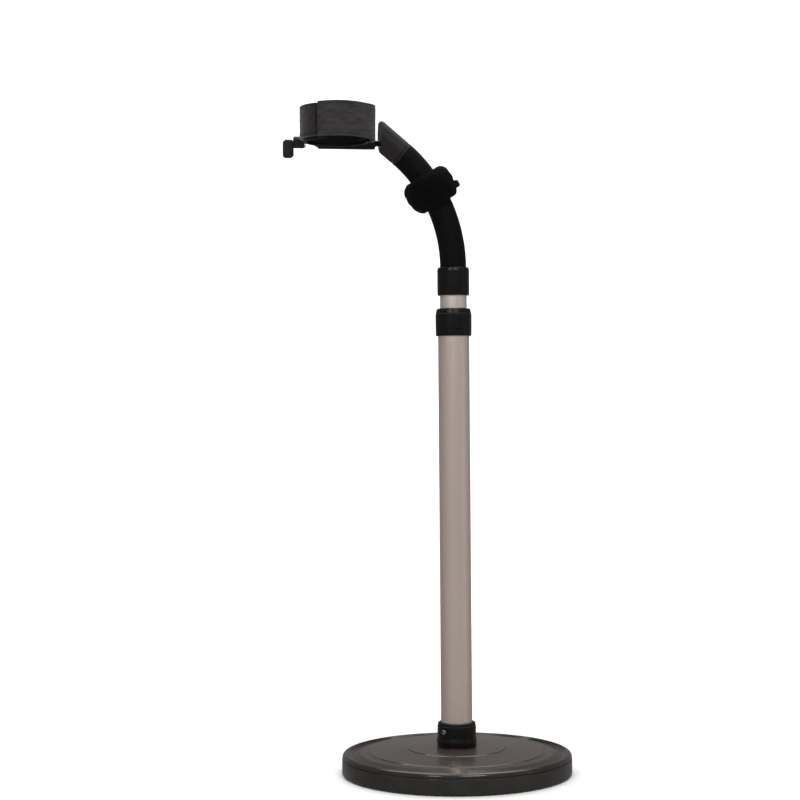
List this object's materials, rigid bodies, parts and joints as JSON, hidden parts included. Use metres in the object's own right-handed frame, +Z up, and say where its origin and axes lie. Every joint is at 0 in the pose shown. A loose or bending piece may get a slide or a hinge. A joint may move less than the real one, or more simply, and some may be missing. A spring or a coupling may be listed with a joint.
{
  "type": "hair dryer holder",
  "caption": "Desk stand with weighted round base, telescopic pole and flexible arm ending in a tilting strapped cradle that holds a hand-held hair dryer by its neck.",
  "frame": {"origin": "on the floor at the middle of the base, on the pole's axis", "axes": "+Z up along the pole; the arm leans towards -X; the cradle stands in front of the arm, towards -Y"},
  "size_m": [0.2554, 0.206, 0.5895],
  "materials": {
    "black_plastic": "satin moulded",
    "cast_iron": "rough cast",
    "pad_rubber": "matte",
    "anodised_tube": "satin anodised, warm silver",
    "steel": "darkened",
    "arm_sleeve": "smooth sleeve",
    "foam": "soft foam",
    "webbing": "woven",
    "hook_and_loop": "brushed loop pile"
  },
  "bodies": {
    "stand": {"base_pad": "pad_rubber", "base_weight": "cast_iron", "base_cover": "black_plastic", "cover_screw_1": "steel", "cover_screw_2": "steel", "cover_screw_3": "steel", "cover_screw_4": "steel", "pole_bolt": "steel", "pole_washer": "steel", "tube_plug": "black_plastic", "base_collar": "black_plastic", "base_set_screw": "steel", "outer_tube": "anodised_tube", "lock_body": "black_plastic", "lock_collet": "black_plastic"},
    "lock": {"lock_collar": "black_plastic"},
    "glide": {"glide_bush": "black_plastic"},
    "mast": {"inner_tube": "anodised_tube", "ferrule": "black_plastic", "mast_plug": "black_plastic", "mast_screw": "steel", "arm_root_plug": "arm_sleeve"},
    "link_1": {"arm_link_1": "arm_sleeve"},
    "link_2": {"arm_link_2": "arm_sleeve"},
    "link_3": {"arm_link_3": "arm_sleeve"},
    "link_4": {"arm_link_4": "arm_sleeve"},
    "link_5": {"arm_link_5": "arm_sleeve", "cord_tie": "hook_and_loop"},
    "link_6": {"arm_link_6": "arm_sleeve"},
    "link_7": {"arm_link_7": "arm_sleeve"},
    "head": {"elbow": "black_plastic", "pivot_insert": "steel", "pivot_bolt": "steel", "wave_washer": "steel"},
    "cradle": {"cradle_shell": "black_plastic", "cradle_liner": "foam", "loop_patch": "hook_and_loop", "strap_anchor": "webbing", "strap_rivet_1": "steel", "strap_rivet_2": "steel"},
    "strap": {"strap": "webbing"},
    "lever": {"tilt_lever": "black_plastic"}
  },
  "joints": [
    {"name": "lock_twist", "type": "hinge", "parent": "stand", "child": "lock", "pos_m": [0, 0, 0.404], "axis": [0, 0, 1], "range_deg": [0, 120]},
    {"name": "lift", "type": "slide", "parent": "stand", "child": "glide", "axis": [0, 0, 1], "range_m": [-0.0112, 0.28]},
    {"name": "swivel", "type": "hinge", "parent": "glide", "child": "mast", "pos_m": [0, 0, 0.42], "axis": [0, 0, 1], "continuous": true},
    {"name": "bend_1", "type": "hinge", "parent": "mast", "child": "link_1", "pos_m": [-0.0003, 0, 0.46259], "axis": [0, -1, 0], "range_deg": [-13, 11]},
    {"name": "sway_1", "type": "hinge", "parent": "link_1", "child": "link_2", "pos_m": [-0.00205, 0, 0.47688], "axis": [0.9846, 0, 0.175], "range_deg": [-12, 12]},
    {"name": "bend_2", "type": "hinge", "parent": "link_2", "child": "link_3", "pos_m": [-0.00534, 0, 0.49089], "axis": [0, -1, 0], "range_deg": [-13, 11]},
    {"name": "sway_2", "type": "hinge", "parent": "link_3", "child": "link_4", "pos_m": [-0.01011, 0, 0.50447], "axis": [0.924, 0, 0.3825], "range_deg": [-12, 12]},
    {"name": "bend_3", "type": "hinge", "parent": "link_4", "child": "link_5", "pos_m": [-0.01633, 0, 0.51745], "axis": [0, -1, 0], "range_deg": [-13, 11]},
    {"name": "sway_3", "type": "hinge", "parent": "link_5", "child": "link_6", "pos_m": [-0.02391, 0, 0.52968], "axis": [0.8202, 0, 0.5721], "range_deg": [-12, 12]},
    {"name": "bend_4", "type": "hinge", "parent": "link_6", "child": "link_7", "pos_m": [-0.03277, 0, 0.54103], "axis": [0, -1, 0], "range_deg": [-13, 11]},
    {"name": "sway_4", "type": "hinge", "parent": "link_7", "child": "head", "pos_m": [-0.04281, 0, 0.55135], "axis": [0.6781, 0, 0.7349], "range_deg": [-12, 12]},
    {"name": "tilt", "type": "hinge", "parent": "head", "child": "cradle", "pos_m": [-0.111, 0, 0.5635], "axis": [1, 0, 0], "range_deg": [-60, 60]},
    {"name": "strap_open", "type": "hinge", "parent": "cradle", "child": "strap", "pos_m": [-0.08019, -0.05301, 0.5745], "axis": [0, 0, 1], "range_deg": [0, 95]},
    {"name": "lever_turn", "type": "hinge", "parent": "head", "child": "lever", "pos_m": [-0.1434, 0, 0.5635], "axis": [1, 0, 0], "range_deg": [0, 120]}
  ],
  "couplings": [
    {"joint": "bend_2", "follows": "bend_1", "ratio": 1},
    {"joint": "sway_2", "follows": "sway_1", "ratio": 1},
    {"joint": "bend_3", "follows": "bend_1", "ratio": 1},
    {"joint": "sway_3", "follows": "sway_1", "ratio": 1},
    {"joint": "bend_4", "follows": "bend_1", "ratio": 1},
    {"joint": "sway_4", "follows": "sway_1", "ratio": 1}
  ]
}
